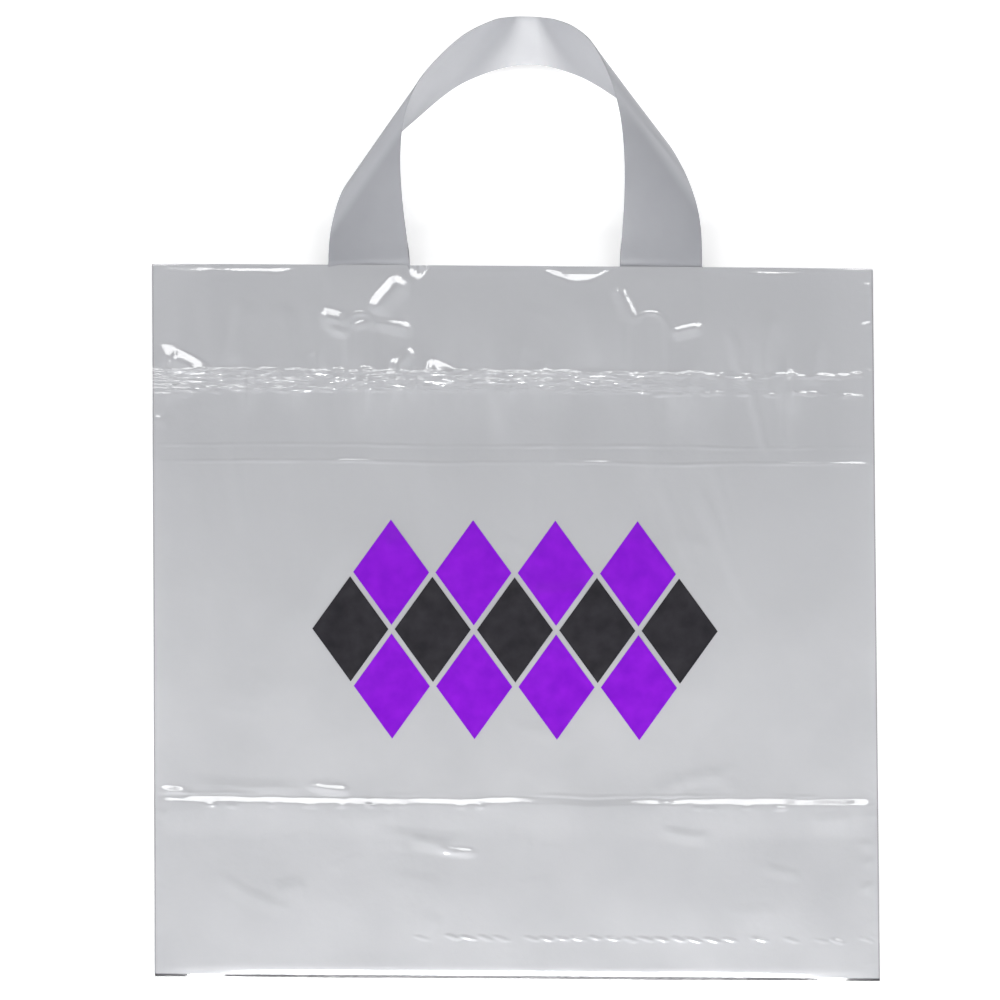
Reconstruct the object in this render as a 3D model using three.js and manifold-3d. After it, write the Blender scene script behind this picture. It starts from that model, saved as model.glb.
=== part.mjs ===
// Carrier bag of clear film with two soft loop handles, lying on its back. Millimetres, X across the bag,
// Y towards the handles, Z up from the table. The origin is on the table under the middle of the whole bag.
import * as THREE from "three";
import { mergeVertices } from "three/addons/utils/BufferGeometryUtils.js";
import Module from "manifold-3d";

const { Manifold, Mesh } = await Module().then((wasm) => {
  wasm.setup();
  return wasm;
});

// Bag body
const BAG_WIDTH = 305;
const BAG_HEIGHT = 301;
const FILM = 0.3;
const LAYER_GAP = 0.3;
const GUSSET_DEPTH = 75.5;
const FRONT_HEM = 76;
const REAR_HEM = 84;
const SIDE_SEAL = 2;
const SEAL_BEAD = 0.3;
const SEAL_INSET = 1.2;
const SIDE_FULLNESS = 6;

// Height of the front panel above the table, along the middle of the bag
const BOTTOM_RISE = 4.6;
const PANEL_RISE = 6.4;
const MOUTH_RISE = 9.2;
const GUSSET_PEAK_LOW = 1.6;
const GUSSET_PEAK_HIGH = 5.2;
const REAR_FOLD = 0.9;
const TOP_FOLD = 1.2;
const CREASE_HEIGHT = 0.8;
const CREASE_REACH = 4;
const GATHER_HEIGHT = 0.4;
const GATHER_PITCH = 61;
const GATHER_REACH = 34;
const SWELL_HEIGHT = 0.25;
const SWELL_PITCH = 140;

// Crimped band that holds the hems: two low ridges across the front panel
const BAND_DROP = 50;
const BAND_WIDTH = 7;
const CRIMP_HEIGHT = 0.3;
const CRIMP_REACH = 1.6;

// Handles
const HANDLE_WIDTH = 34.6;
const HANDLE_FILM = 0.4;
const LOOP_HEIGHT = 104.6;
const TAB_LENGTH = 53;
const TOUCH = 0.4;
const NEST = 1.2;

// Straight lines across the handle strip, outer edge then inner edge, from the mouth to the top of the loop.
// X is from the middle of the bag, Y from the mouth and Z from the tab, for a strip RULED_WIDTH wide.
const RULED_WIDTH = 34.6;
const RULED_HEIGHT = 104.6;
const LEFT_LEG = [
  [[-78.7, 0, 0], [-44.3, 0, 0]],
  [[-78.6, 2.4, 0.2], [-44.8, 4, 0.5]],
  [[-78.5, 5.9, 1.2], [-45.8, 11.8, 4.4]],
  [[-77.8, 13.5, 2.8], [-47.5, 27.8, 11]],
  [[-76.1, 21.5, 4.8], [-48.1, 44.7, 18]],
  [[-74, 28.3, 6.4], [-46.6, 60.7, 24.4]],
  [[-71.5, 33.5, 7], [-41.8, 74.2, 28.6]],
  [[-67.9, 38, 6], [-33.3, 85, 30]],
  [[-59.5, 45.6, 3], [-21.5, 95.8, 27]],
  [[-43.5, 60.5, -2.4], [-9.7, 102.2, 20]],
  [[-22.4, 77.2, -5.6], [-3, 104.1, 11.6]],
];
const LOOP_TOP = [[3, 85.1, -6.3], [3, 104.6, 8.2]];
const RIGHT_LEG = [
  [[78.9, 0, 0], [44.3, 0, 0]],
  [[78.9, 2.6, 0.2], [44.5, 4, 0.5]],
  [[78.8, 6.7, 1.4], [45.1, 11.8, 4.4]],
  [[78.3, 15.2, 3.3], [46, 27.8, 11]],
  [[76.8, 24, 5.4], [45.8, 44.7, 18]],
  [[74, 32.9, 7.2], [44.1, 61.6, 24.7]],
  [[70, 41.8, 8.4], [39.9, 77.6, 28.6]],
  [[64.5, 51, 8], [32.5, 92, 30]],
  [[57, 59.5, 5.6], [24.9, 99.1, 24.5]],
  [[44.3, 69.8, -0.2], [17.3, 102.8, 15.5]],
  [[25.3, 81, -5.1], [10.5, 104.2, 8.6]],
];

// Rows along the film on each run of its path, and columns across it
const COLUMNS = 20;
const STRIP_ROWS = 56;
const STRIP_COLUMNS = 4;

// Places that follow from the sizes
const BOTTOM = -(BAG_HEIGHT + LOOP_HEIGHT) / 2;
const MOUTH = BOTTOM + BAG_HEIGHT;
const CREASE = BOTTOM + GUSSET_DEPTH;
const BAND = MOUTH - BAND_DROP;
const LAYER = FILM + LAYER_GAP;
const BACK_Z = FILM / 2;
const SEAL_Z = [BACK_Z, BACK_Z + LAYER, BACK_Z + 2 * LAYER, BACK_Z + 3 * LAYER];
const FILM_WIDTH = BAG_WIDTH - 2 * SEAL_BEAD;
const MOUTH_EASE = 60;
const BOTTOM_EASE = 40;

const smooth = (t) => THREE.MathUtils.smoothstep(t, 0, 1);
const bell = (distance, reach) => Math.exp(-((distance / reach) ** 2));

// How far the bag is open at a place across it: 1 in the middle, 0 at the side seals
const openness = (x) => 1 - Math.min(1, Math.abs(2 * x) / FILM_WIDTH) ** SIDE_FULLNESS;
const layerZ = (x, sealed, open) => sealed + openness(x) * (open - sealed);

// Gathers that run down from the crimped band, and a slow swell over the whole panel
function gathers(x, y) {
  const wave = Math.sin((2 * Math.PI * x) / GATHER_PITCH + 0.9 * Math.sin(y / 37));
  const swell = Math.sin((2 * Math.PI * (x + 0.6 * y)) / SWELL_PITCH + 1);
  return GATHER_HEIGHT * wave * bell(y - BAND, GATHER_REACH) + SWELL_HEIGHT * swell;
}

// Heights of the film's layers: the front panel, its hem, the two legs of the gusset, the back panel and its hem
function softFrontZ(x, y) {
  const lower = (PANEL_RISE - BOTTOM_RISE) * smooth((y - BOTTOM) / BOTTOM_EASE);
  const upper = (MOUTH_RISE - PANEL_RISE) * smooth((y - (MOUTH - FRONT_HEM)) / MOUTH_EASE);
  return layerZ(x, SEAL_Z[3], BOTTOM_RISE + lower + upper + gathers(x, y));
}
function frontZ(x, y) {
  const crease = CREASE_HEIGHT * bell(y - CREASE, CREASE_REACH);
  const crimp = CRIMP_HEIGHT * bell(Math.abs(y - BAND) - BAND_WIDTH / 2, CRIMP_REACH);
  return softFrontZ(x, y) + openness(x) * (crease + crimp);
}
function frontHemZ(x, y) {
  const fold = (TOP_FOLD - LAYER) * smooth(1 - (MOUTH - y) / (BAND_DROP - BAND_WIDTH));
  return softFrontZ(x, y) - LAYER - fold * openness(x);
}
const gussetHighZ = (x, y) => {
  const climb = smooth((y - BOTTOM) / GUSSET_DEPTH);
  const start = BACK_Z + REAR_FOLD + LAYER;
  return layerZ(x, SEAL_Z[2], start + (GUSSET_PEAK_HIGH - start) * climb);
};
const gussetLowZ = (x, y) => {
  const climb = smooth((y - BOTTOM) / GUSSET_DEPTH);
  const start = BACK_Z + REAR_FOLD;
  return layerZ(x, SEAL_Z[1], start + (GUSSET_PEAK_LOW - start) * climb);
};
const backZ = () => BACK_Z;
const rearHemZ = () => BACK_Z + LAYER;

// A run of film in one layer, between two places up the bag
const panel = (rows, zAt, from, to) => ({
  rows,
  at: (x, t) => {
    const y = THREE.MathUtils.lerp(from(x), to(x), t);
    return new THREE.Vector3(x, y, zAt(x, y));
  },
});
// A half turn of film at an edge, from layer a to layer b. Side is 1 where the turn points up the bag.
const turnRadius = (x, edge, a, b) => Math.abs(a(x, edge) - b(x, edge)) / 2;
const turnStart = (edge, side, a, b) => (x) => edge - side * turnRadius(x, edge, a, b);
const turn = (rows, edge, side, a, b) => ({
  rows,
  at: (x, t) => {
    const radius = turnRadius(x, edge, a, b);
    const start = edge - side * radius;
    const [from, to] = [a(x, start), b(x, start)];
    const angle = Math.PI * t;
    const y = start + side * radius * Math.sin(angle);
    return new THREE.Vector3(x, y, (from + to) / 2 + ((from - to) / 2) * Math.cos(angle));
  },
});

// The film's whole path: front hem, front panel, gusset up and down, back panel, rear hem
const topFront = turnStart(MOUTH, 1, frontHemZ, frontZ);
const lowFront = turnStart(BOTTOM, -1, frontZ, gussetHighZ);
const peak = turnStart(CREASE, 1, gussetHighZ, gussetLowZ);
const lowBack = turnStart(BOTTOM, -1, gussetLowZ, backZ);
const topBack = turnStart(MOUTH, 1, backZ, rearHemZ);
const PATH = [
  panel(6, frontHemZ, () => MOUTH - FRONT_HEM, topFront),
  turn(4, MOUTH, 1, frontHemZ, frontZ),
  panel(5, frontZ, topFront, () => BAND + BAND_WIDTH),
  panel(8, frontZ, () => BAND + BAND_WIDTH, () => BAND - BAND_WIDTH),
  panel(10, frontZ, () => BAND - BAND_WIDTH, () => CREASE + 2 * CREASE_REACH),
  panel(6, frontZ, () => CREASE + 2 * CREASE_REACH, () => CREASE - 2 * CREASE_REACH),
  panel(5, frontZ, () => CREASE - 2 * CREASE_REACH, lowFront),
  turn(5, BOTTOM, -1, frontZ, gussetHighZ),
  panel(4, gussetHighZ, lowFront, peak),
  turn(5, CREASE, 1, gussetHighZ, gussetLowZ),
  panel(4, gussetLowZ, peak, lowBack),
  turn(3, BOTTOM, -1, gussetLowZ, backZ),
  panel(2, backZ, lowBack, topBack),
  turn(3, MOUTH, 1, backZ, rearHemZ),
  panel(2, rearHemZ, topBack, () => MOUTH - REAR_HEM),
];
const PATH_ROWS = PATH.reduce((sum, run) => sum + run.rows, 0);

function filmPoint(u, v) {
  const x = (v - 0.5) * FILM_WIDTH;
  let row = u * PATH_ROWS;
  for (const run of PATH) {
    if (row <= run.rows || run === PATH.at(-1)) {
      return run.at(x, row / run.rows);
    }
    row -= run.rows;
  }
}

// A sheet of even thickness about a surface, which is a point for each u and v from 0 to 1
function sheet(surface, rows, columns, thickness) {
  const box = new THREE.BoxGeometry(1, 1, 1, rows, columns, 1);
  const places = box.attributes.position;
  const step = 1e-4;
  for (let i = 0; i < places.count; i++) {
    const u = places.getX(i) + 0.5;
    const v = places.getY(i) + 0.5;
    const along = surface(Math.min(u + step, 1), v).sub(surface(Math.max(u - step, 0), v));
    const across = surface(u, Math.min(v + step, 1)).sub(surface(u, Math.max(v - step, 0)));
    const normal = along.cross(across).normalize();
    const point = surface(u, v).addScaledVector(normal, places.getZ(i) * thickness);
    places.setXYZ(i, point.x, point.y, point.z);
  }
  return box;
}

// Joins solids into one geometry
function solid(geometry) {
  const bare = new THREE.BufferGeometry();
  bare.setAttribute("position", geometry.getAttribute("position"));
  bare.setIndex(geometry.index);
  const welded = mergeVertices(bare, 1e-4);
  return new Manifold(
    new Mesh({
      numProp: 3,
      vertProperties: welded.attributes.position.array,
      triVerts: new Uint32Array(welded.index.array),
    }),
  );
}
function join(geometries) {
  const joined = Manifold.union(geometries.map(solid)).getMesh();
  const result = new THREE.BufferGeometry();
  result.setAttribute("position", new THREE.BufferAttribute(joined.vertProperties, 3));
  result.setIndex(new THREE.BufferAttribute(joined.triVerts, 1));
  result.computeVertexNormals();
  return result;
}

// Side seals: all the layers fused to a narrow strip down each side
function sideSeal(side) {
  const low = BACK_Z / 2;
  const high = SEAL_Z[3];
  const strip = new THREE.BoxGeometry(SIDE_SEAL, BAG_HEIGHT - 2 * SEAL_INSET, high - low);
  return strip.translate((side * (BAG_WIDTH - SIDE_SEAL)) / 2, (BOTTOM + MOUTH) / 2, (low + high) / 2);
}

const bagBody = join([sheet(filmPoint, PATH_ROWS, COLUMNS, FILM), sideSeal(-1), sideSeal(1)]);

// Handle tabs lie on the inside of the hems
const tabDrop = FILM / 2 + TOUCH + HANDLE_FILM / 2;
const frontTabZ = (x, y) => frontHemZ(x, y) - tabDrop;
const rearTabZ = (x, y) => rearHemZ(x, y) + tabDrop;

// A ruling of the loop in the part's frame, for a strip of the stated width and a loop of the stated height
function placed(ruling) {
  const [outer, inner] = ruling.map(
    ([x, y, z]) => new THREE.Vector3(x, MOUTH + (y * LOOP_HEIGHT) / RULED_HEIGHT, z),
  );
  const middle = outer.clone().add(inner).multiplyScalar(0.5);
  const reach = HANDLE_WIDTH / RULED_WIDTH;
  const lift = new THREE.Vector3(0, 0, frontTabZ(0, MOUTH));
  return [outer, inner].map((point) => point.sub(middle).multiplyScalar(reach).add(middle).add(lift));
}
const FRONT_LOOP = [...LEFT_LEG, LOOP_TOP, ...RIGHT_LEG.toReversed()].map(placed);

// The rear loop lies inside the front one, and its legs spread to the rear hem at the mouth
function rearLoop() {
  const middles = FRONT_LOOP.map(([outer, inner]) => outer.clone().lerp(inner, 0.5));
  const last = FRONT_LOOP.length - 1;
  const spread = frontTabZ(0, MOUTH) - rearTabZ(0, MOUTH);
  return FRONT_LOOP.map(([outer, inner], i) => {
    const along = middles[Math.min(i + 1, last)].clone().sub(middles[Math.max(i - 1, 0)]);
    const normal = inner.clone().sub(outer).cross(along).normalize();
    const legShare = 1 - smooth(Math.min(i, last - i) / 4);
    const offset = -(NEST + (spread - NEST) * legShare);
    const flat = i === 0 || i === last;
    const shift = flat ? new THREE.Vector3(0, 0, offset) : normal.multiplyScalar(offset);
    return [outer.clone().add(shift), inner.clone().add(shift)];
  });
}

// A handle as one strip: up a tab, round the loop and down the other tab
function handle(loop, tabZ) {
  const drops = [1, 0.67, 0.34, 0.1];
  const tab = ([outer, inner]) =>
    drops.map((share) =>
      [outer, inner].map((point) => {
        const y = MOUTH - share * TAB_LENGTH;
        return new THREE.Vector3(point.x, y, tabZ(point.x, y));
      }),
    );
  const rulings = [...tab(loop[0]), ...loop, ...tab(loop.at(-1)).toReversed()];
  const [outerEdge, innerEdge] = [0, 1].map(
    (edge) => new THREE.CatmullRomCurve3(rulings.map((ruling) => ruling[edge]), false, "catmullrom", 0.5),
  );
  const surface = (u, v) => outerEdge.getPoint(u).lerp(innerEdge.getPoint(u), v);
  return sheet(surface, STRIP_ROWS, STRIP_COLUMNS, HANDLE_FILM);
}

const film = new THREE.MeshPhysicalMaterial({ color: 0xc6c8cc, roughness: 0.25, transparent: true, opacity: 0.8 });
const named = (name, geometry) => {
  const mesh = new THREE.Mesh(geometry, film);
  mesh.name = name;
  return mesh;
};

const bag = new THREE.Group();
bag.add(named("bag_body", bagBody));
bag.add(named("front_handle", handle(FRONT_LOOP, frontTabZ)));
bag.add(named("rear_handle", handle(rearLoop(), rearTabZ)));
export default bag;
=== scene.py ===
"""Clear film carrier bag with soft loop handles, lying on its back on a white table, seen from above."""

import math

import bpy
import numpy as np
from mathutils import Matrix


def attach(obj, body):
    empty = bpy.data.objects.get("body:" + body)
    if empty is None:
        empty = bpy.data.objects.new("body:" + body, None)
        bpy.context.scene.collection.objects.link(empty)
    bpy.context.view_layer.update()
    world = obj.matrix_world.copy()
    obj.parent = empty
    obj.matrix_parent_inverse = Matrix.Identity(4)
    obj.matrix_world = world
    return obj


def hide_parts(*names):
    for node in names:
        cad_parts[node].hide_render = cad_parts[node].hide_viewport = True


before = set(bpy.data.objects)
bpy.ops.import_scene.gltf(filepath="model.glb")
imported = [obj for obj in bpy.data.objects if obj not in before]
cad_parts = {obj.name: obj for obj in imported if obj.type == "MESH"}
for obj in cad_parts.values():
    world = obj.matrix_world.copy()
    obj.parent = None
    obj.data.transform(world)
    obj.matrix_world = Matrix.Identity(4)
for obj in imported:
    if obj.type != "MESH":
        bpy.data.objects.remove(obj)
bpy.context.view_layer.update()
MM = 0.001

# Sizes of the bag, in millimetres, as in the solids
BAG_WIDTH = 305
BAG_HEIGHT = 301
LOOP_HEIGHT = 104.6
FILM = 0.3
LAYER = 0.6
GUSSET_DEPTH = 75.5
FRONT_HEM = 76
REAR_HEM = 84
SEAL_BEAD = 0.3
SIDE_FULLNESS = 6
BOTTOM_RISE = 4.6
PANEL_RISE = 6.4
MOUTH_RISE = 9.2
GUSSET_PEAK_LOW = 1.6
GUSSET_PEAK_HIGH = 5.2
REAR_FOLD = 0.9
GATHER_HEIGHT = 0.4
GATHER_PITCH = 61
GATHER_REACH = 34
SWELL_HEIGHT = 0.25
SWELL_PITCH = 140
BAND_DROP = 50
BAND_WIDTH = 7
TAB_LENGTH = 53

# Gaps at the mouth and between the two loops, smaller than in the solids because the sheets are thin
TOP_FOLD = 0.12
NEST = 0.25

# Places that follow from the sizes
BOTTOM = -(BAG_HEIGHT + LOOP_HEIGHT) / 2
MOUTH = BOTTOM + BAG_HEIGHT
CREASE = BOTTOM + GUSSET_DEPTH
BAND = MOUTH - BAND_DROP
BACK_Z = FILM / 2
SEAL_Z = [BACK_Z + k * LAYER for k in range(4)]
HALF_FILM = BAG_WIDTH / 2 - SEAL_BEAD

# How far the bag is out of square
WIDENING = 0.006
LEAN = 1.05
SKEW = 0.0068

# How far up the bag the front panel takes to change its height
MOUTH_EASE = 60
BOTTOM_EASE = 40

# Where the top edge rolls over: middle across the bag, half width, and reach down the hem
MOUTH_ROLLS = (
    (-118, 40, 3.9),
    (-39.6, 5.2, 7.0),
    (-12, 22, 2.3),
    (27, 18, 5.4),
    (112, 38, 2.4),
)
ROLL_SLOPE = 0.31
MOUTH_LIP = 1.3


def smooth(t):
    t = np.clip(t, 0, 1)
    return t * t * (3 - 2 * t)


def bell(distance, reach):
    return np.exp(-((distance / reach) ** 2))


# Smooth noise

NOISE_SIDE = 64
NOISE_SHIFT = 1000


def noise(x, y, cell, seed):
    """Noise from -1 to 1, with features about a cell across. A cell is a number or an (x, y) pair."""
    cell_x, cell_y = cell if isinstance(cell, tuple) else (cell, cell)
    table = np.random.default_rng(seed).uniform(-1, 1, (NOISE_SIDE, NOISE_SIDE))
    u, v = np.broadcast_arrays(x / cell_x + NOISE_SHIFT, y / cell_y + NOISE_SHIFT)
    i, j = np.floor(u).astype(int), np.floor(v).astype(int)
    f, g = smooth(u - i), smooth(v - j)

    def corner(a, b):
        return table[(i + a) % NOISE_SIDE, (j + b) % NOISE_SIDE]

    low = corner(0, 0) * (1 - f) + corner(1, 0) * f
    high = corner(0, 1) * (1 - f) + corner(1, 1) * f
    return low * (1 - g) + high * g


def noise_across(x, cell, seed):
    """Noise that changes across the bag only."""
    return noise(x, 0 * x, cell, seed)


# Heights of the film's layers above the table


def openness(x):
    return 1 - np.minimum(1, np.abs(x) / HALF_FILM) ** SIDE_FULLNESS


def layer_z(x, sealed, opened):
    return sealed + openness(x) * (opened - sealed)


def gathers(x, y):
    wave = np.sin(2 * math.pi * x / GATHER_PITCH + 0.9 * np.sin(y / 37))
    swell = np.sin(2 * math.pi * (x + 0.6 * y) / SWELL_PITCH + 1)
    return GATHER_HEIGHT * wave * bell(y - BAND, GATHER_REACH) + SWELL_HEIGHT * swell


def slack(x, y):
    """Soft hollows and swells of the loose front panel."""
    broad = 0.5 * noise(x, y, (42, 58), 3)
    small = 0.38 * noise(x, y, (14, 24), 4)
    upright = 0.7 * noise(x + 0.1 * y, y, (8.5, 44), 5) * bell(y - BAND, 60)
    return (broad + small + upright) * smooth((MOUTH - y) / 30) * smooth((y - BOTTOM) / 20)


def bottom_roll(y):
    """How far the panel dips to the bottom fold: steepest at the edge, then one slope, eased off above."""
    slope, straight, end = 0.54, 3.2, 5.2
    turn_slope, turn_reach = 0.42, 1.5
    drop = np.maximum(y - BOTTOM, 0)
    eased = slope * np.maximum(end - np.maximum(drop, straight), 0) ** 2 / (2 * (end - straight))
    return eased + slope * np.maximum(straight - drop, 0) + turn_slope * np.maximum(turn_reach - drop, 0)


def mouth_roll(x, y):
    """How far the hem dips to the flat lip at the top edge. It dips most beside the handle legs."""
    drop = np.maximum(MOUTH - y, MOUTH_LIP)
    total = 0
    for place, half, reach in MOUTH_ROLLS:
        uneven = 1 + 0.25 * noise_across(x, 9, 140)
        lens = reach * np.maximum(1 - ((x - place) / half) ** 2, 0) * uneven
        edge_slope = 2 * reach * (x - place) / half**2
        total = total + ROLL_SLOPE * np.maximum(lens - drop, 0) / np.sqrt(1 + edge_slope**2)
    return total


def soft_front_z(x, y):
    lower = (PANEL_RISE - BOTTOM_RISE) * smooth((y - BOTTOM) / BOTTOM_EASE)
    upper = (MOUTH_RISE - PANEL_RISE) * smooth((y - (MOUTH - FRONT_HEM)) / MOUTH_EASE)
    flat = BOTTOM_RISE + lower + upper
    opened = flat + gathers(x, y) + slack(x, y) - mouth_roll(x, y) - bottom_roll(y)
    return layer_z(x, SEAL_Z[3], opened)


def tent(distance, reach):
    """A ridge with straight flanks and a rounded top."""
    return np.maximum(1.14 - np.sqrt((distance / reach) ** 2 + 0.02), 0)


def facet(x, y, start, end, width, slope, tail=1.0):
    """A sharp crease along a line, faded at both ends. Its lower flank may be wider, and so gentler."""
    along = np.array(end) - np.array(start)
    length = np.hypot(*along)
    unit = along / length
    t = ((x - start[0]) * unit[0] + (y - start[1]) * unit[1]) / length
    off = (x - start[0]) * unit[1] - (y - start[1]) * unit[0]
    lower = off * np.sign(unit[0]) > 0
    fade = smooth(4 * t) * smooth(4 * (1 - t))
    return slope * width * fade * tent(off, np.where(lower, tail * width, width))


def crimp(x, y):
    """The crumpled seal band: short sharp creases in three rows, two in the middle and at the right."""
    count, reach = 560, 146
    top_row, middle_row, low_row = 4.6, 1.4, -2.6
    right_top_row, right_low_row = 4.4, -3.7
    draw = np.random.default_rng(20)
    flecks = np.zeros(np.broadcast(x, y).shape)
    for _ in range(count):
        place = draw.uniform(-reach, reach)
        right = smooth((place - 30) / 60)
        row = draw.choice((top_row, middle_row, low_row), p=(0.44, 0.34, 0.22))
        if abs(place) < 50:
            row = max(row, middle_row)
        if place > 60:
            row = right_top_row if row > 0 else right_low_row
        middle = BAND + row + draw.normal(0, 0.6)
        half = draw.uniform(0.8, 2.8)
        slant = draw.uniform(-0.14, 0.14) * half
        slope = draw.uniform(0.36, 0.48)
        width = draw.uniform(0.55, 1.05)
        start, end = (place - half, middle - slant), (place + half, middle + slant)
        if draw.uniform() > 0.5 * right:
            flecks = np.maximum(flecks, facet(x, y, start, end, width, slope))
    return flecks + 0.04 * noise(x, y, (5.2, 2.1), 50) * bell(y - BAND - 1, 5)


def gather_lines(x, y):
    """Upright wrinkles that start at the seal band and run down and up from it."""
    count, reach = 64, 118
    draw = np.random.default_rng(60)
    total = 0
    for _ in range(count):
        place = draw.uniform(-reach, reach)
        down = draw.uniform(12, 32) * draw.uniform(0.7, 1)
        up = draw.uniform(11, 24)
        slant = draw.uniform(-0.2, 0.2)
        width = draw.uniform(1.2, 3.4)
        height = draw.uniform(0.1, 0.28) * width
        off = x - place - slant * (y - BAND)
        fade = smooth(1 - (BAND - y) / down) * smooth(1 - (y - BAND) / up)
        total = total + height * fade * bell(off, width)
    return total


def gusset_line(x, y):
    """The ridge where the top of the folded gusset pushes the front panel up: steep above, gentle below."""
    tick_places = (-128, -119, -102, -88, -85, -73, -61, -53, -47, -23, -15, 76, 82, 97, 110, 112)
    flank, foot = 2.7, 16
    off = y - CREASE - 0.6 * noise_across(x, 30, 70) - 0.3 * noise_across(x, 8, 71)
    height = 1.12 + 0.07 * noise_across(x, 24, 72) + 0.08 * noise_across(x, 3.8, 73)
    height = height - 0.37 * bell(x - 26, 24)
    above = np.clip(0.5 - off / flank, 0, 1)
    below = smooth(1 + (off + flank / 2) / foot)
    rim = 0.25 * bell(off - 2.2, 0.8) * smooth(0.3 + noise_across(x, 17, 74))
    ticks = np.zeros(np.broadcast(x, y).shape)
    draw = np.random.default_rng(75)
    for place in tick_places:
        start = (place - draw.uniform(0.8, 1.6), CREASE - draw.uniform(1.6, 2.4))
        end = (place + draw.uniform(0.8, 1.6), CREASE - draw.uniform(2.2, 3.4))
        ticks = np.maximum(ticks, facet(x, y, start, end, 0.9, draw.uniform(0.6, 0.8), tail=1.6))
    return height * above * below + rim + ticks


def hem_lines(x, y):
    """Low steps over the ends of the two hems, and over the handle tabs that lie under the front one."""
    tab_step = 0.22
    total = 0
    for drop, height, seed in ((FRONT_HEM, 0.27, 80), (REAR_HEM - 1, 0.32, 81)):
        off = y - (MOUTH - drop) - 0.5 * noise_across(x, 34, seed) - 0.15 * noise_across(x, 7, seed + 5)
        strength = 0.7 + 0.5 * noise_across(x, 12, seed + 10)
        total = total + height * strength * tent(off, 0.8)
    for left, right in TAB_SPANS:
        inside = smooth(0.5 + (x - left) / 1.8) * smooth(0.5 + (right - x) / 1.8)
        total = total + tab_step * inside * smooth((y - MOUTH + TAB_LENGTH) / 3) * smooth((MOUTH - y) / 6)
    return total


def weld_arches(x, y):
    """Arch-shaped weld marks that hold the tabs to the hem: middle, half width, drop and length of each."""
    arches = ((-63.9, 5.9, 20.2, 22), (57.8, 7.6, 19.4, 25))
    total = 0
    for middle, half, drop, length in arches:
        centre = MOUTH - drop - half
        above = np.hypot(x - middle, y - centre)
        off = np.where(y > centre, above, np.abs(x - middle)) - half
        fade = smooth((y - (centre - length)) / 10)
        total = total + fade * (0.5 * tent(off, 1.3) + 0.12 * smooth(0.5 - off / 1.5))
    return total


def side_puckers(x, y):
    """Ripples along the side seals and short creases that run in from them."""
    count = 70
    draw = np.random.default_rng(90)
    inward = HALF_FILM - np.abs(x)
    side = np.sign(x)
    ripple = 0.1 * noise(7 * side, y, (5, 7.5), 91) + 0.05 * noise(7 * side, y, (5, 3.2), 92)
    total = ripple * bell(inward - 1.6, 2.6)
    for _ in range(count):
        sign = draw.choice((-1, 1))
        place = draw.uniform(BOTTOM + 8, MOUTH - 4)
        reach = draw.uniform(3, 15)
        slant = draw.uniform(-0.5, 0.5)
        height = draw.uniform(0.03, 0.2)
        off = y - place - slant * inward
        mask = (side == sign) * smooth(1 - inward / reach) * smooth(inward / 1.2)
        total = total + height * mask * bell(off, draw.uniform(0.8, 1.8))
    return total


def wander(x, y):
    """Places moved a little to and fro, so that creases laid out as straight lines come out uneven."""
    shift_x = 1.2 * noise(x, y, 14, 130) + 0.2 * noise(x, y, 5, 131)
    shift_y = 1.2 * noise(x, y, 14, 132) + 0.2 * noise(x, y, 5, 133)
    return x + shift_x, y + shift_y


def long_streaks(x, y):
    """The few long creases that can be picked out on the panel: start, end, width and slope of each."""
    lines = (
        ((73.8, 11.0), (103.4, -52.3), 3.0, 0.16),
        ((98.5, 54), (107.6, 18), 1.6, 0.34),
        ((111, 54), (118, 18), 1.6, 0.3),
        ((82, 20), (96, -30), 2.0, 0.16),
        ((60, 12), (78, -34), 2.4, 0.14),
        ((-44.0, -143.8), (-25, -147.3), 2.6, 0.24),
        ((-33.0, -147.8), (-16, -150.4), 1.7, 0.56),
        ((-62, -141), (-16, -146), 3.6, 0.12),
        ((-70, -10), (-96, -62), 4.0, 0.12),
        ((-120, 30), (-112, -20), 3.0, 0.12),
        ((20, 30), (12, -12), 3.0, 0.12),
        ((-128, -160), (-92, -176), 3.0, 0.1),
        ((60, -139), (84, -143), 2.6, 0.2),
        ((104, -154), (120, -158), 2.4, 0.14),
        ((-8, -92), (30, -104), 3.0, 0.1),
        ((64, -120), (96, -112), 2.8, 0.16),
        ((-158, -123.4), (-136, -124.6), 1.8, 0.5),
        ((-88, -121.8), (-68, -124.2), 2.0, 0.5),
        ((-140, -120), (-88, -124), 2.6, 0.2),
        ((170, -143.6), (141, -144.8), 2.2, 0.42),
        ((170, -151), (143, -152.6), 2.0, 0.4),
        ((170, -162.4), (142, -163.2), 2.2, 0.42),
        ((-170, -132), (-144, -134), 2.0, 0.4),
    )
    x, y = wander(x, y)
    return sum(facet(x, y, *line, tail=1.5) for line in lines)


def soft_patches(x, y):
    """Shallow creases scattered over the lower panel and the gusset."""
    count = 46
    draw = np.random.default_rng(120)
    x, y = wander(x, y)
    total = 0
    for _ in range(count):
        place = (draw.uniform(-140, 140), draw.uniform(BOTTOM + 18, MOUTH - 100))
        turn = draw.normal(0, 0.35)
        half = draw.uniform(5, 16)
        reach = (half * math.cos(turn), half * math.sin(turn))
        start = (place[0] - reach[0], place[1] - reach[1])
        end = (place[0] + reach[0], place[1] + reach[1])
        total = total + facet(x, y, start, end, draw.uniform(2, 5), draw.uniform(0.03, 0.12), tail=2.0)
    return total


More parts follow.
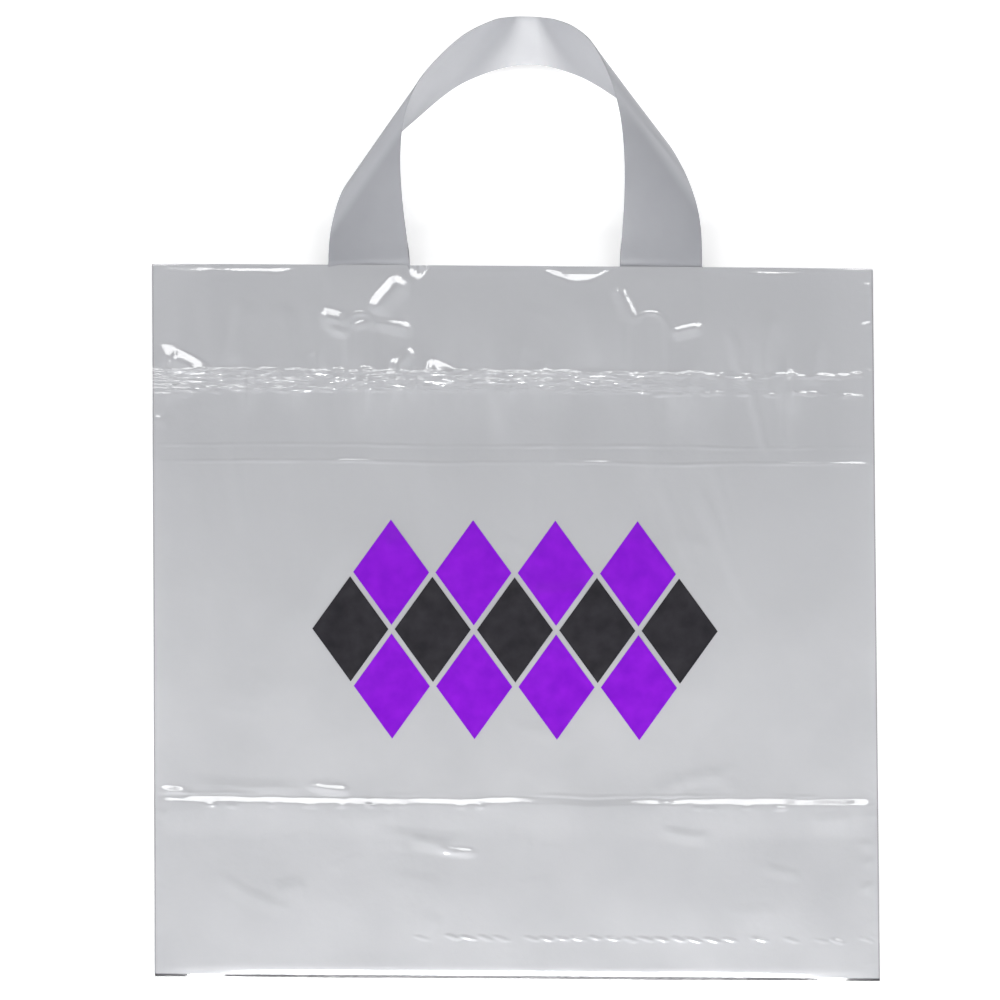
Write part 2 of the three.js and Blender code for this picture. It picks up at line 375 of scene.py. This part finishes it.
def bottom_dashes(x, y):
    """A row of short slanting creases just above the bottom fold."""
    row_start, row_end, row_height = -40.0, 150, 17.4
    width = 0.85
    draw = np.random.default_rng(100)
    total = 0
    place = row_start
    while place < row_end:
        lean = draw.uniform(2.2, 3.4)
        rise = draw.uniform(0.8, 1.4)
        middle = BOTTOM + row_height + draw.uniform(-0.4, 0.4)
        slope = draw.uniform(0.66, 0.8) if 38 < place < 100 else draw.uniform(0.4, 0.8)
        start, end = (place - lean, middle + rise), (place + lean, middle - rise)
        total = total + facet(x, y, start, end, width, slope)
        place += draw.choice((6.4, 7.4, 13), p=(0.5, 0.3, 0.2))
    return total


def mouth_puckers(x, y):
    """Creases in the hem, most of them beside the tabs and the left side: start, end, width and slope."""
    lines = (
        ((-45.5, MOUTH - 5), (-59.5, MOUTH - 22), 4.2, 0.32),
        ((-82, MOUTH - 21.5), (-69, MOUTH - 23.5), 3.6, 0.38),
        ((-78, MOUTH - 26.6), (-69, MOUTH - 28), 2.0, 0.42),
        ((-68, MOUTH - 25.4), (-60, MOUTH - 24.2), 1.6, 0.44),
        ((-61, MOUTH - 24.5), (-42, MOUTH - 27.5), 2.6, 0.3),
        ((-42, MOUTH - 35), (-50, MOUTH - 44), 2.8, 0.33),
        ((-37, MOUTH - 41), (-25, MOUTH - 46.5), 3.6, 0.37),
        ((-176, MOUTH - 37.5), (-138, MOUTH - 39.5), 4.4, 0.27),
        ((-146, MOUTH - 39.5), (-128, MOUTH - 46.5), 4.4, 0.36),
        ((-170, MOUTH - 64), (-144, MOUTH - 66), 2.8, 0.3),
        ((-151, MOUTH - 58), (-134, MOUTH - 50), 2.6, 0.2),
        ((-112, MOUTH - 14), (-118, MOUTH - 44), 5.0, 0.15),
        ((-96, MOUTH - 16), (-92, MOUTH - 46), 5.0, 0.16),
        ((-84, MOUTH - 36), (-80, MOUTH - 46), 3.0, 0.22),
        ((66, MOUTH - 29), (80, MOUTH - 25.5), 2.4, 0.36),
        ((43, MOUTH - 8), (51, MOUTH - 24), 2.8, 0.33),
        ((92, MOUTH - 26), (99, MOUTH - 52), 2.6, 0.26),
        ((110, MOUTH - 18), (104, MOUTH - 46), 4.0, 0.18),
        ((128, MOUTH - 30), (124, MOUTH - 50), 3.0, 0.16),
        ((12, MOUTH - 14), (2, MOUTH - 40), 6.0, 0.1),
        ((30, MOUTH - 12), (36, MOUTH - 44), 5.0, 0.1),
    )
    x, y = wander(x, y)
    return sum(facet(x, y, *line, tail=1.5) for line in lines)


def front_z(x, y):
    fine = crimp(x, y) + gather_lines(x, y) + gusset_line(x, y) + hem_lines(x, y) + weld_arches(x, y)
    fine = fine + long_streaks(x, y) + bottom_dashes(x, y) + mouth_puckers(x, y) + soft_patches(x, y)
    side_fade = smooth((HALF_FILM - np.abs(x)) / 8)
    return soft_front_z(x, y) + side_fade * fine + side_puckers(x, y)


def front_hem_z(x, y):
    fold = (TOP_FOLD - LAYER) * smooth(1 - (MOUTH - y) / (BAND_DROP - BAND_WIDTH))
    return soft_front_z(x, y) - LAYER - fold * openness(x)


def gusset_high_z(x, y):
    start = BACK_Z + REAR_FOLD + LAYER
    climb = smooth((y - BOTTOM) / GUSSET_DEPTH)
    return layer_z(x, SEAL_Z[2], start + (GUSSET_PEAK_HIGH - start) * climb)


def gusset_low_z(x, y):
    start = BACK_Z + REAR_FOLD
    climb = smooth((y - BOTTOM) / GUSSET_DEPTH)
    return layer_z(x, SEAL_Z[1], start + (GUSSET_PEAK_LOW - start) * climb)


def back_z(x, y):
    return BACK_Z + 0 * x * y


def rear_hem_z(x, y):
    return BACK_Z + LAYER + 0 * x * y


# Handle strips: straight lines across the strip, outer edge then inner edge, from the mouth to the top

LEFT_LEG = [
    [(-78.7, 0, 0), (-44.3, 0, 0)],
    [(-78.6, 2.4, 0.6), (-44.8, 4, 1.6)],
    [(-78.5, 5.9, 1.3), (-45.8, 11.8, 4.4)],
    [(-77.8, 13.5, 2.8), (-47.5, 27.8, 11)],
    [(-76.1, 21.5, 4.8), (-48.1, 44.7, 18)],
    [(-74, 28.3, 6.4), (-46.6, 60.7, 24.4)],
    [(-71.5, 33.5, 7), (-41.8, 74.2, 28.6)],
    [(-67.9, 38, 6), (-33.3, 85, 30)],
    [(-59.5, 45.6, 3), (-21.5, 95.8, 27)],
    [(-43.5, 60.5, -2.4), (-9.7, 102.2, 20)],
    [(-22.4, 77.2, -5.6), (-3, 104.1, 11.6)],
]
LOOP_TOP = [(3, 85.1, -6.3), (3, 104.6, 8.2)]
RIGHT_LEG = [
    [(78.9, 0, 0), (44.3, 0, 0)],
    [(78.9, 2.6, 0.6), (44.5, 4, 1.6)],
    [(78.8, 6.7, 1.5), (45.1, 11.8, 4.4)],
    [(78.3, 15.2, 3.3), (46, 27.8, 11)],
    [(76.8, 24, 5.4), (45.8, 44.7, 18)],
    [(74, 32.9, 7.2), (44.1, 61.6, 24.7)],
    [(70, 41.8, 8.4), (39.9, 77.6, 28.6)],
    [(64.5, 51, 8), (32.5, 92, 30)],
    [(57, 59.5, 5.6), (24.9, 99.1, 24.5)],
    [(44.3, 69.8, -0.2), (17.3, 102.8, 15.5)],
    [(25.3, 81, -5.1), (10.5, 104.2, 8.6)],
]
TAB_SPANS = ((LEFT_LEG[0][0][0], LEFT_LEG[0][1][0]), (RIGHT_LEG[0][1][0], RIGHT_LEG[0][0][0]))


# Building blocks for meshes


def mesh_object(name, vertices, faces, material):
    mesh = bpy.data.meshes.new(name)
    mesh.from_pydata((np.asarray(vertices) * MM).tolist(), [], faces)
    mesh.materials.append(material)
    mesh.shade_smooth()
    made = bpy.data.objects.new(name, mesh)
    bpy.context.scene.collection.objects.link(made)
    return made


def grid_faces(rows, columns, first=0):
    index = first + np.arange(rows * columns).reshape(rows, columns)
    quads = np.stack([index[:-1, :-1], index[1:, :-1], index[1:, 1:], index[:-1, 1:]], -1)
    return quads.reshape(-1, 4).tolist()


# The bag's film: one sheet folded along its path


def film_columns():
    edge = np.linspace(0, 6, 13)
    middle = np.linspace(6, 2 * HALF_FILM - 6, 202)
    return np.concatenate([edge[:-1], middle, 2 * HALF_FILM - edge[-2::-1]]) - HALF_FILM


def panel_rows(z_at, start, end, shares):
    """Rows of film in one layer, between two places up the bag that may differ across it."""
    x = film_columns()[None, :]
    y = start(x) + (end(x) - start(x)) * np.asarray(shares)[:, None]
    return np.stack([np.broadcast_to(x, y.shape), y, z_at(x, y)], -1)


def turn_start(edge, side, a, b):
    return lambda x: edge - side * np.abs(a(x, edge) - b(x, edge)) / 2


def turn_rows(count, edge, side, a, b):
    """Rows round a half turn of film at an edge, from layer a to layer b."""
    x = film_columns()[None, :]
    start = turn_start(edge, side, a, b)(x)
    high, low = a(x, start), b(x, start)
    angle = np.linspace(0, math.pi, count + 1)[:, None]
    y = start + (edge - start) * np.sin(angle)
    z = (high + low) / 2 + (high - low) / 2 * np.cos(angle)
    return np.stack([np.broadcast_to(x, y.shape), y, z], -1)


def front_shares():
    """Rows down the front panel, closer together over the seal band and the gusset line."""
    zones = (
        (MOUTH, BAND + 7, 64),
        (BAND + 7, BAND - 7, 56),
        (BAND - 7, MOUTH - FRONT_HEM + 2, 14),
        (MOUTH - FRONT_HEM + 2, MOUTH - REAR_HEM - 2, 24),
        (MOUTH - REAR_HEM - 2, CREASE + 6, 70),
        (CREASE + 6, CREASE - 6, 28),
        (CREASE - 6, BOTTOM + 22, 54),
        (BOTTOM + 22, BOTTOM + 13, 24),
        (BOTTOM + 13, BOTTOM + 3, 10),
        (BOTTOM + 3, BOTTOM, 14),
    )
    places = np.concatenate([np.linspace(a, b, n, endpoint=False) for a, b, n in zones] + [[BOTTOM]])
    return (MOUTH - places) / BAG_HEIGHT


def askew(points):
    """The bag isn't quite square: it leans a little, and is a little wider towards the bottom."""
    x, y, z = np.moveaxis(points, -1, 0)
    down = (MOUTH - y) / BAG_HEIGHT
    return np.stack([x * (1 + WIDENING * down) + LEAN * (2 * down - 1), y - SKEW * x, z], -1)


def film_points():
    top_front = turn_start(MOUTH, 1, front_hem_z, front_z)
    low_front = turn_start(BOTTOM, -1, front_z, gusset_high_z)
    peak = turn_start(CREASE, 1, gusset_high_z, gusset_low_z)
    low_back = turn_start(BOTTOM, -1, gusset_low_z, back_z)
    top_back = turn_start(MOUTH, 1, back_z, rear_hem_z)

    def level(place):
        return lambda x: place + 0 * x

    runs = [
        panel_rows(front_hem_z, level(MOUTH - FRONT_HEM), top_front, np.linspace(0, 1, 16)),
        turn_rows(6, MOUTH, 1, front_hem_z, front_z),
        panel_rows(front_z, top_front, low_front, front_shares()),
        turn_rows(8, BOTTOM, -1, front_z, gusset_high_z),
        panel_rows(gusset_high_z, low_front, peak, np.linspace(0, 1, 8)),
        turn_rows(6, CREASE, 1, gusset_high_z, gusset_low_z),
        panel_rows(gusset_low_z, peak, low_back, np.linspace(0, 1, 7)),
        turn_rows(6, BOTTOM, -1, gusset_low_z, back_z),
        panel_rows(back_z, low_back, top_back, np.linspace(0, 1, 7)),
        turn_rows(6, MOUTH, 1, back_z, rear_hem_z),
        panel_rows(rear_hem_z, top_back, level(MOUTH - REAR_HEM), np.linspace(0, 1, 8)),
    ]
    return askew(np.concatenate([runs[0]] + [run[1:] for run in runs[1:]]))


# Handle strips as meshes


def catmull_rom(points, steps):
    """A smooth curve through the points, with a number of steps between each pair."""
    points = np.asarray(points, float)
    padded = np.concatenate([[2 * points[0] - points[1]], points, [2 * points[-1] - points[-2]]])
    t = np.linspace(0, len(points) - 1, steps * (len(points) - 1) + 1)
    i = np.minimum(t.astype(int), len(points) - 2)
    f = (t - i)[:, None]
    a, b, c, d = (padded[i + k] for k in range(4))
    square = (2 * a - 5 * b + 4 * c - d) * f**2
    cube = (3 * b - a - 3 * c + d) * f**3
    return (2 * b + (c - a) * f + square + cube) / 2


TAB_DROP = 0.06
TAB_SAG = 1.6
TAB_SAG_REACH = 16
LOOP_SQUASH = 0.95
FOLLOW_REACH = 30
SPREAD_LINES = 4
STRIP_WIDTH = 34.6
STRIP_RUN = 400
STRIP_STEPS = 12
STRIP_EDGE = 0.04
FRONT_TAB_Z = MOUTH_RISE + float(gathers(0, MOUTH)) - TOP_FOLD - TAB_DROP
REAR_TAB_Z = BACK_Z + LAYER + TAB_DROP


def front_tab_z(x, y):
    return front_hem_z(x, y) - TAB_DROP - TAB_SAG * smooth((MOUTH - y) / TAB_SAG_REACH)


def rear_tab_z(x, y):
    return REAR_TAB_Z + 0 * x * y


def front_loop():
    """The front strip's lines. They reach about as high as in the solids, and follow the hem at the mouth."""
    rulings = np.array(LEFT_LEG + [LOOP_TOP] + RIGHT_LEG[::-1], float)
    follow = gathers(rulings[..., 0], MOUTH) - gathers(0, MOUTH)
    follow = follow * smooth(1 - rulings[..., 1] / FOLLOW_REACH)
    rulings = rulings * np.array([1, 1, LOOP_SQUASH]) + np.array([0, MOUTH, FRONT_TAB_Z])
    rulings[..., 2] += follow
    return rulings


def rear_loop():
    """The rear strip lies inside the front one, and its legs spread to the rear hem at the mouth."""
    loop = front_loop()
    middles = loop.mean(1)
    last = len(loop) - 1
    shifted = []
    for i, (outer, inner) in enumerate(loop):
        along = middles[min(i + 1, last)] - middles[max(i - 1, 0)]
        normal = np.cross(inner - outer, along)
        normal = normal / np.linalg.norm(normal)
        if i in (0, last):
            normal = np.array([0, 0, 1.0])
        share = 1 - smooth(min(i, last - i) / SPREAD_LINES)
        offset = NEST + (FRONT_TAB_Z - REAR_TAB_Z - NEST) * share
        shifted.append(loop[i] - normal * offset)
    return np.array(shifted)


def strip_points(loop, tab_z):
    """A handle strip as rows of points across it: up a tab, round the loop and down the other tab."""

    def tab(ruling):
        rows = []
        for share in (1, 0.67, 0.34, 0.1):
            y = MOUTH - share * TAB_LENGTH
            rows.append([(x, y, float(tab_z(np.float64(x), np.float64(y)))) for x, _, _ in ruling])
        return rows

    rulings = np.array(tab(loop[0]) + loop.tolist() + tab(loop[-1])[::-1])
    outer = catmull_rom(rulings[:, 0], STRIP_STEPS)
    inner = catmull_rom(rulings[:, 1], STRIP_STEPS)
    first_edge = np.linspace(0, STRIP_EDGE, 4)
    middle = np.linspace(STRIP_EDGE, 1 - STRIP_EDGE, 22)
    last_edge = np.linspace(1 - STRIP_EDGE, 1, 4)
    across = np.concatenate([first_edge[:-1], middle, last_edge[1:]])
    points = outer[:, None, :] + (inner - outer)[:, None, :] * across[None, :, None]
    along = np.gradient(points, axis=0)
    span = np.gradient(points, axis=1)
    normal = np.cross(span, along)
    normal = normal / np.linalg.norm(normal, axis=-1, keepdims=True)
    s = np.linspace(0, STRIP_RUN, len(points))[:, None]
    t = across[None, :] * STRIP_WIDTH
    ripple = 0.2 * noise(s, t, (60, 17), 110)
    bead = 0.04 * (bell(t - 0.5, 0.6) + bell(t - STRIP_WIDTH + 0.5, 0.6))
    return points + normal * (ripple + bead)[..., None]


# Materials


def new_material(name):
    material = bpy.data.materials.new(name)
    material.use_nodes = True
    nodes = material.node_tree.nodes
    nodes.clear()
    shader = nodes.new("ShaderNodeBsdfPrincipled")
    output = nodes.new("ShaderNodeOutputMaterial")
    material.node_tree.links.new(shader.outputs["BSDF"], output.inputs["Surface"])
    return material, shader


def add_noise(material, scale, detail, low, high):
    """A noise texture in the object's own space, as a value from low to high."""
    nodes, links = material.node_tree.nodes, material.node_tree.links
    place = nodes.new("ShaderNodeTexCoord")
    texture = nodes.new("ShaderNodeTexNoise")
    texture.inputs["Scale"].default_value = scale
    texture.inputs["Detail"].default_value = detail
    spread = nodes.new("ShaderNodeMapRange")
    spread.inputs["From Min"].default_value = 0.3
    spread.inputs["From Max"].default_value = 0.7
    spread.inputs["To Min"].default_value = low
    spread.inputs["To Max"].default_value = high
    links.new(place.outputs["Object"], texture.inputs["Vector"])
    links.new(texture.outputs["Fac"], spread.inputs["Value"])
    return spread.outputs["Result"]


def add_ramp(material, axis, start, end):
    """A value from 0 at one place along an axis of the object to 1 at another, places in millimetres."""
    nodes, links = material.node_tree.nodes, material.node_tree.links
    place = nodes.new("ShaderNodeTexCoord")
    tilt = nodes.new("ShaderNodeVectorMath")
    tilt.operation = "DOT_PRODUCT"
    tilt.inputs[1].default_value = axis
    ramp = nodes.new("ShaderNodeMapRange")
    ramp.interpolation_type = "SMOOTHSTEP"
    ramp.inputs["From Min"].default_value = start * MM
    ramp.inputs["From Max"].default_value = end * MM
    links.new(place.outputs["Object"], tilt.inputs[0])
    links.new(tilt.outputs["Value"], ramp.inputs["Value"])
    return ramp.outputs["Result"]


def add_product(material, *factors):
    """The product of several values."""
    product = factors[0]
    for factor in factors[1:]:
        node = material.node_tree.nodes.new("ShaderNodeMath")
        node.operation = "MULTIPLY"
        material.node_tree.links.new(product, node.inputs[0])
        material.node_tree.links.new(factor, node.inputs[1])
        product = node.outputs["Value"]
    return product


def add_crinkle(material):
    """Fine flat crinkles in the seal band, weaker to the right, and none elsewhere."""
    nodes, links = material.node_tree.nodes, material.node_tree.links
    place = nodes.new("ShaderNodeTexCoord")
    stretch = nodes.new("ShaderNodeMapping")
    stretch.inputs["Scale"].default_value = (300, 1300, 300)
    texture = nodes.new("ShaderNodeTexNoise")
    texture.inputs["Scale"].default_value = 1
    texture.inputs["Detail"].default_value = 1
    links.new(place.outputs["Object"], stretch.inputs["Vector"])
    links.new(stretch.outputs["Vector"], texture.inputs["Vector"])
    top = add_ramp(material, (SKEW, 1, 0), BAND + 7.5, BAND + 5)
    foot = add_ramp(material, (SKEW, 1, 0), BAND - 4.5, BAND - 2)
    left = add_ramp(material, (1, 0, 0), 160, 20)
    return add_product(material, texture.outputs["Fac"], top, foot, left)


def add_mix(material, first, second, factor):
    """A mix of two colours by a factor that varies over the surface. A colour is a value or a socket."""
    nodes, links = material.node_tree.nodes, material.node_tree.links
    mix = nodes.new("ShaderNodeMix")
    mix.data_type = "RGBA"
    for name, colour in (("A", first), ("B", second)):
        if isinstance(colour, tuple):
            mix.inputs[name].default_value = (*colour, 1)
        else:
            links.new(colour, mix.inputs[name])
    links.new(factor, mix.inputs["Factor"])
    return mix.outputs["Result"]


def add_bump(material, height, strength, distance, under=None):
    """A bump from a height, on top of another bump where one is given."""
    bump = material.node_tree.nodes.new("ShaderNodeBump")
    bump.inputs["Strength"].default_value = strength
    bump.inputs["Distance"].default_value = distance
    material.node_tree.links.new(height, bump.inputs["Height"])
    if under is not None:
        material.node_tree.links.new(under, bump.inputs["Normal"])
    return bump.outputs["Normal"]


def film_material(name, dark, light, tints, alpha, rough, specular, coat):
    """Clear film with a cloudy tone. Each tint is a ramp along the object and the grey at its end."""
    material, shader = new_material(name)
    links = material.node_tree.links
    shade = add_mix(material, dark, light, add_noise(material, 28, 3, 0, 1))
    for ramp, grey in tints:
        shade = add_mix(material, shade, grey, add_ramp(material, *ramp))
    links.new(shade, shader.inputs["Base Color"])
    links.new(add_noise(material, 60, 2, rough - 0.04, rough + 0.05), shader.inputs["Roughness"])
    grain = add_bump(material, add_noise(material, 260, 3, 0, 1), 0.12, 0.0004)
    crinkle = add_bump(material, add_crinkle(material), 0.58, 0.0006, under=grain)
    links.new(crinkle, shader.inputs["Normal"])
    shader.inputs["IOR"].default_value = 1.6
    shader.inputs["Alpha"].default_value = alpha
    shader.inputs["Specular IOR Level"].default_value = specular
    shader.inputs["Coat Weight"].default_value = coat
    shader.inputs["Coat IOR"].default_value = 1.9
    shader.inputs["Coat Roughness"].default_value = 0.07
    links.new(crinkle, shader.inputs["Coat Normal"])
    return material


def ink_material(name, dark, light):
    material, shader = new_material(name)
    links = material.node_tree.links
    shade = add_mix(material, dark, light, add_noise(material, 140, 4, 0, 1))
    links.new(shade, shader.inputs["Base Color"])
    links.new(add_noise(material, 90, 2, 0.3, 0.42), shader.inputs["Roughness"])
    shader.inputs["IOR"].default_value = 1.48
    shader.inputs["Specular IOR Level"].default_value = 0.2
    return material


# Print: a plain harlequin of lozenges, in ink on the front panel

PRINT_MIDDLE = (0, -55.3)
LOZENGE_WIDTH = 34.6
LOZENGE_HEIGHT = 48
LOZENGE_GAP = 2.6
LOZENGE_ROWS = 30
INK_LIFT = 0.1


def lozenges(name, places, material):
    side = LOZENGE_ROWS
    vertices, faces = [], []
    a, b = np.meshgrid(np.linspace(-1, 1, side), np.linspace(-1, 1, side), indexing="ij")
    half_width = (LOZENGE_WIDTH - LOZENGE_GAP) / 2
    half_height = (LOZENGE_HEIGHT - LOZENGE_GAP * LOZENGE_HEIGHT / LOZENGE_WIDTH) / 2
    for column, row in places:
        x = PRINT_MIDDLE[0] + column * LOZENGE_WIDTH + (a - b) / 2 * half_width
        y = PRINT_MIDDLE[1] + row * LOZENGE_HEIGHT + (a + b) / 2 * half_height
        faces += grid_faces(side, side, len(vertices) * side * side)
        vertices.append(askew(np.stack([x, y, front_z(x, y) + INK_LIFT], -1)).reshape(-1, 3))
    return mesh_object(name, np.concatenate(vertices), faces, material)


# Pieces

# Painted shade on the film: dark lines at the bottom fold and along the side seals, where film is seen edge
# on (at the seals partly the fused seal's own tone), and a darker grey towards the top of the bag
FOLD_PAINTED_SHADE_GREY = (0.14, 0.14, 0.148)
TOP_PAINTED_SHADE_GREY = (0.635, 0.641, 0.669)
SEAL_TONE_AND_PAINTED_SHADE_GREY = (0.37, 0.37, 0.39)
LEFT_SLANT = (LEAN * 2 - BAG_WIDTH / 2 * WIDENING) / BAG_HEIGHT
RIGHT_SLANT = (LEAN * 2 + BAG_WIDTH / 2 * WIDENING) / BAG_HEIGHT
LEFT_SEAL = -HALF_FILM - LEAN + LEFT_SLANT * MOUTH
RIGHT_SEAL = HALF_FILM - LEAN + RIGHT_SLANT * MOUTH
bag_grey = film_material(
    "clear_film",
    dark=(0.672, 0.678, 0.705),
    light=(0.733, 0.739, 0.766),
    tints=(
        # Painted shade: the film darker towards the top of the bag
        (((0, 1, 0), -100, 30), TOP_PAINTED_SHADE_GREY),
        # Painted shade, partly the seal's own tone: a thin dark line along each side seal
        (((1, LEFT_SLANT, 0), LEFT_SEAL + 0.8, LEFT_SEAL + 0.2), SEAL_TONE_AND_PAINTED_SHADE_GREY),
        (((1, RIGHT_SLANT, 0), RIGHT_SEAL - 0.8, RIGHT_SEAL - 0.2), SEAL_TONE_AND_PAINTED_SHADE_GREY),
        # Painted shade: a dark line along the bottom fold, where the film is seen edge on
        (((SKEW, 1, 0), BOTTOM + 1.6, BOTTOM + 1.1), FOLD_PAINTED_SHADE_GREY),
    ),
    alpha=0.8,
    rough=0.16,
    specular=1.0,
    coat=1.0,
)
# The handles are film in several layers. Painted light: the outer side of each leg and the top of the loop
# are painted a lighter grey
LEG_EDGE_PAINTED_LIGHT_GREY = (0.438, 0.446, 0.477)
LOOP_TOP_PAINTED_LIGHT_GREY = (0.462, 0.469, 0.501)
LEFT_LEG_AXIS = (-0.815, 0.579, 0)
RIGHT_LEG_AXIS = (0.815, 0.579, 0)
handle_grey = film_material(
    "handle_film",
    dark=(0.3, 0.306, 0.334),
    light=(0.344, 0.35, 0.378),
    tints=(
        # Painted light: the outer side of each leg lighter
        ((LEFT_LEG_AXIS, 126, 130), LEG_EDGE_PAINTED_LIGHT_GREY),
        ((RIGHT_LEG_AXIS, 131, 136), LEG_EDGE_PAINTED_LIGHT_GREY),
        # Painted light: the top of the loop lighter
        (((0, 1, 0), MOUTH + 50, MOUTH + 82), LOOP_TOP_PAINTED_LIGHT_GREY),
    ),
    alpha=0.9,
    rough=0.44,
    specular=0.9,
    coat=0.06,
)
purple = ink_material("purple_ink", (0.205, 0.007, 0.58), (0.26, 0.012, 0.66))
charcoal = ink_material("charcoal_ink", (0.021, 0.02, 0.024), (0.036, 0.034, 0.04))

film = film_points()
bag = mesh_object("bag_film", film.reshape(-1, 3), grid_faces(*film.shape[:2]), bag_grey)
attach(bag, "root")
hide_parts("bag_body")

for name, loop, tab_z in (("front", front_loop(), front_tab_z), ("rear", rear_loop(), rear_tab_z)):
    points = strip_points(loop, tab_z)
    strip_faces = grid_faces(*points.shape[:2])
    strip = mesh_object(f"{name}_loop", points.reshape(-1, 3), strip_faces, handle_grey)
    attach(strip, "root")
    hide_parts(f"{name}_handle")

charcoal_places = [(k, 0) for k in (-2, -1, 0, 1, 2)]
purple_places = [(k, row) for row in (-0.5, 0.5) for k in (-1.5, -0.5, 0.5, 1.5)]
for name, places, ink in (
    ("print_charcoal", charcoal_places, charcoal),
    ("print_purple", purple_places, purple),
):
    printed = lozenges(name, places, ink)
    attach(printed, "root")


# Stage: a white table, soft lamps and the camera straight above


TABLE_GLOW = 0.45
WALL_LEVEL = 0.26
ZENITH_LEVEL = 0.013


def area_lamp(name, place, size, power):
    """A rectangular lamp that faces the middle of the table, sizes in metres and power in watts."""
    lamp = bpy.data.lights.new(name, "AREA")
    lamp.shape = "RECTANGLE"
    lamp.size, lamp.size_y = size
    lamp.energy = power
    made = bpy.data.objects.new(name, lamp)
    made.location = place
    direction = np.zeros(3) - np.array(place)
    tilt = math.atan2(math.hypot(direction[0], direction[1]), -direction[2])
    heading = math.atan2(direction[1], direction[0]) - math.pi / 2
    made.rotation_euler = (tilt, 0, heading)
    bpy.context.scene.collection.objects.link(made)


table_material, table_shader = new_material("white_table")
table_shader.inputs["Base Color"].default_value = (0.86, 0.86, 0.86, 1)
table_shader.inputs["Roughness"].default_value = 0.9
table_shader.inputs["Specular IOR Level"].default_value = 0.0
table_nodes, table_links = table_material.node_tree.nodes, table_material.node_tree.links
light_path = table_nodes.new("ShaderNodeLightPath")
seen = light_path.outputs["Is Camera Ray"]
for ray in ("Is Glossy Ray", "Is Transmission Ray"):
    either = table_nodes.new("ShaderNodeMath")
    either.operation = "MAXIMUM"
    table_links.new(seen, either.inputs[0])
    table_links.new(light_path.outputs[ray], either.inputs[1])
    seen = either.outputs["Value"]
glow = table_nodes.new("ShaderNodeMath")
glow.operation = "MULTIPLY"
glow.inputs[1].default_value = TABLE_GLOW
table_links.new(seen, glow.inputs[0])
table_shader.inputs["Emission Color"].default_value = (1, 1, 1, 1)
table_links.new(glow.outputs["Value"], table_shader.inputs["Emission Strength"])
REACH = 4000
corners = [(-REACH, -REACH, 0), (REACH, -REACH, 0), (REACH, REACH, 0), (-REACH, REACH, 0)]
table = mesh_object("white_table", corners, [(0, 1, 2, 3)], table_material)

# Two low lamps at the bottom end, three on an arc round the top end, and one at each side
ARC_RADIUS = 0.98
ARC_HEIGHT = 1.17
area_lamp("low_lamp", (0.0, -0.86, 0.37), (1.2, 0.26), 6.0)
area_lamp("low_core", (0.0, -0.85, 0.37), (0.5, 0.26), 3.8)
for step in (1, 2, 3):
    turn = math.radians(45 * step)
    spot = (ARC_RADIUS * math.cos(turn), ARC_RADIUS * math.sin(turn), ARC_HEIGHT)
    area_lamp(f"arc_lamp_{step}", spot, (0.76, 0.45), 4.0)
area_lamp("left_lamp", (-1.22, 0.0, 0.52), (0.9, 0.3), 2.35)
area_lamp("right_lamp", (1.22, 0.0, 0.52), (0.9, 0.3), 2.35)

# The room is dark overhead, round the camera, and brighter towards the walls
world = bpy.data.worlds.new("studio")
world.use_nodes = True
world_nodes, world_links = world.node_tree.nodes, world.node_tree.links
sky_place = world_nodes.new("ShaderNodeTexCoord")
sky_height = world_nodes.new("ShaderNodeSeparateXYZ")
sky_level = world_nodes.new("ShaderNodeMapRange")
sky_level.interpolation_type = "SMOOTHSTEP"
sky_level.inputs["From Min"].default_value = 0.88
sky_level.inputs["From Max"].default_value = 1.0
sky_level.inputs["To Min"].default_value = WALL_LEVEL
sky_level.inputs["To Max"].default_value = ZENITH_LEVEL
backdrop = world_nodes["Background"]
backdrop.inputs["Color"].default_value = (0.97, 0.98, 1.0, 1)
world_links.new(sky_place.outputs["Generated"], sky_height.inputs["Vector"])
world_links.new(sky_height.outputs["Z"], sky_level.inputs["Value"])
world_links.new(sky_level.outputs["Result"], backdrop.inputs["Strength"])
bpy.context.scene.world = world

PHOTO_SIDE = 1000
BAG_PIXELS = 723
CAMERA_HEIGHT = 3.0
VIEW_PLANE = 0.005
VIEW_MIDDLE = (-0.0063, -0.0005)
camera_data = bpy.data.cameras.new("camera")
view_width = BAG_WIDTH * MM * PHOTO_SIDE / BAG_PIXELS
camera_data.lens = camera_data.sensor_width * (CAMERA_HEIGHT - VIEW_PLANE) / view_width
camera = bpy.data.objects.new("camera", camera_data)
camera.location = (*VIEW_MIDDLE, CAMERA_HEIGHT)
bpy.context.scene.collection.objects.link(camera)
bpy.context.scene.camera = camera
bpy.context.scene.view_settings.view_transform = "Standard"
